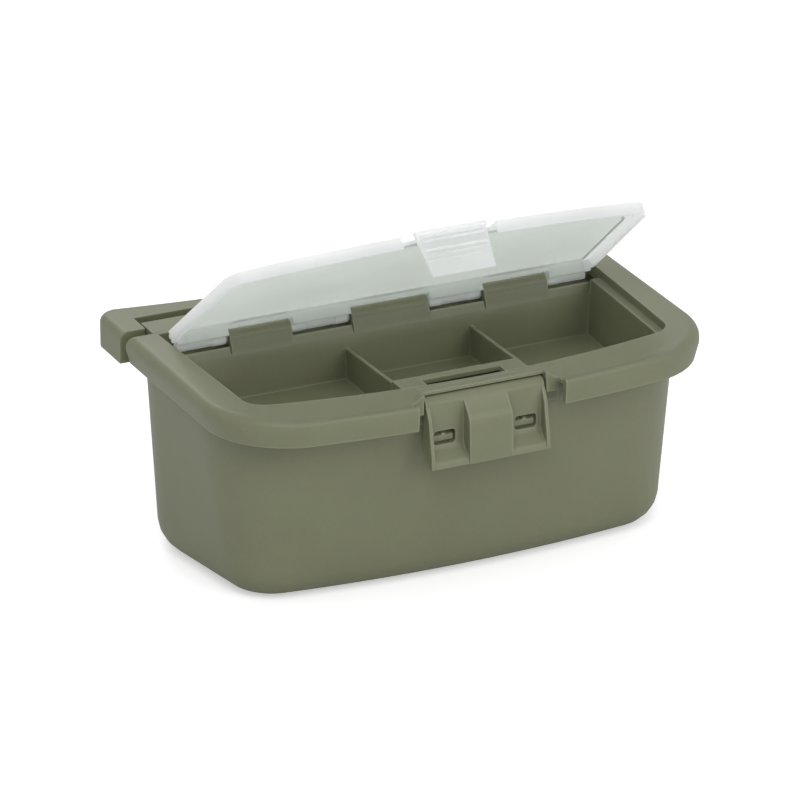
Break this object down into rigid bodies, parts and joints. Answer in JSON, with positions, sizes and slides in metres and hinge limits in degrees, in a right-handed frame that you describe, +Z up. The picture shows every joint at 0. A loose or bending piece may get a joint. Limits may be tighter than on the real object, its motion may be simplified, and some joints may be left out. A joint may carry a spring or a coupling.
{
  "type": "bait box",
  "caption": "Belt-worn bait box: tapered tub, hinged lid with three small-parts compartments under a clear flip cover, snap latch at the front, belt loops behind.",
  "frame": {"origin": "centre of the tub's flat bottom, on the surface it stands on", "axes": "+X to the right along the hinges, +Y towards the belt side, +Z up; the latch faces -Y"},
  "size_m": [0.2184, 0.1446, 0.1419],
  "materials": {
    "olive_plastic": "fine moulded satin",
    "clear_plastic": "frosted clear",
    "hinge_pin_steel": "drawn wire"
  },
  "bodies": {
    "tub_body": {"tub": "olive_plastic", "belt_loop_left": "olive_plastic", "belt_loop_right": "olive_plastic", "lid_hinge_pin_left": "hinge_pin_steel", "lid_hinge_pin_right": "hinge_pin_steel"},
    "lid_body": {"lid_tray": "olive_plastic"},
    "latch_body": {"front_latch": "olive_plastic"},
    "cover_body": {"clear_cover": "clear_plastic"},
    "tongue_body": {"cover_latch": "clear_plastic"}
  },
  "joints": [
    {"name": "lid_hinge", "type": "hinge", "parent": "tub_body", "child": "lid_body", "pos_m": [0, 0.0595, 0.083], "axis": [-1, 0, 0], "range_deg": [0, 92]},
    {"name": "front_latch_hinge", "type": "hinge", "parent": "lid_body", "child": "latch_body", "pos_m": [0, -0.051, 0.0836], "axis": [-1, 0, 0], "range_deg": [0, 70]},
    {"name": "cover_hinge", "type": "hinge", "parent": "lid_body", "child": "cover_body", "pos_m": [0, 0.0405, 0.084], "axis": [-1, 0, 0], "range_deg": [-39, 55]},
    {"name": "cover_latch_flex", "type": "hinge", "parent": "cover_body", "child": "tongue_body", "pos_m": [0.0019, -0.01658, 0.13666], "axis": [1, 0, 0], "range_deg": [0, 5], "stiffness_Nm_per_rad": 0.06}
  ]
}
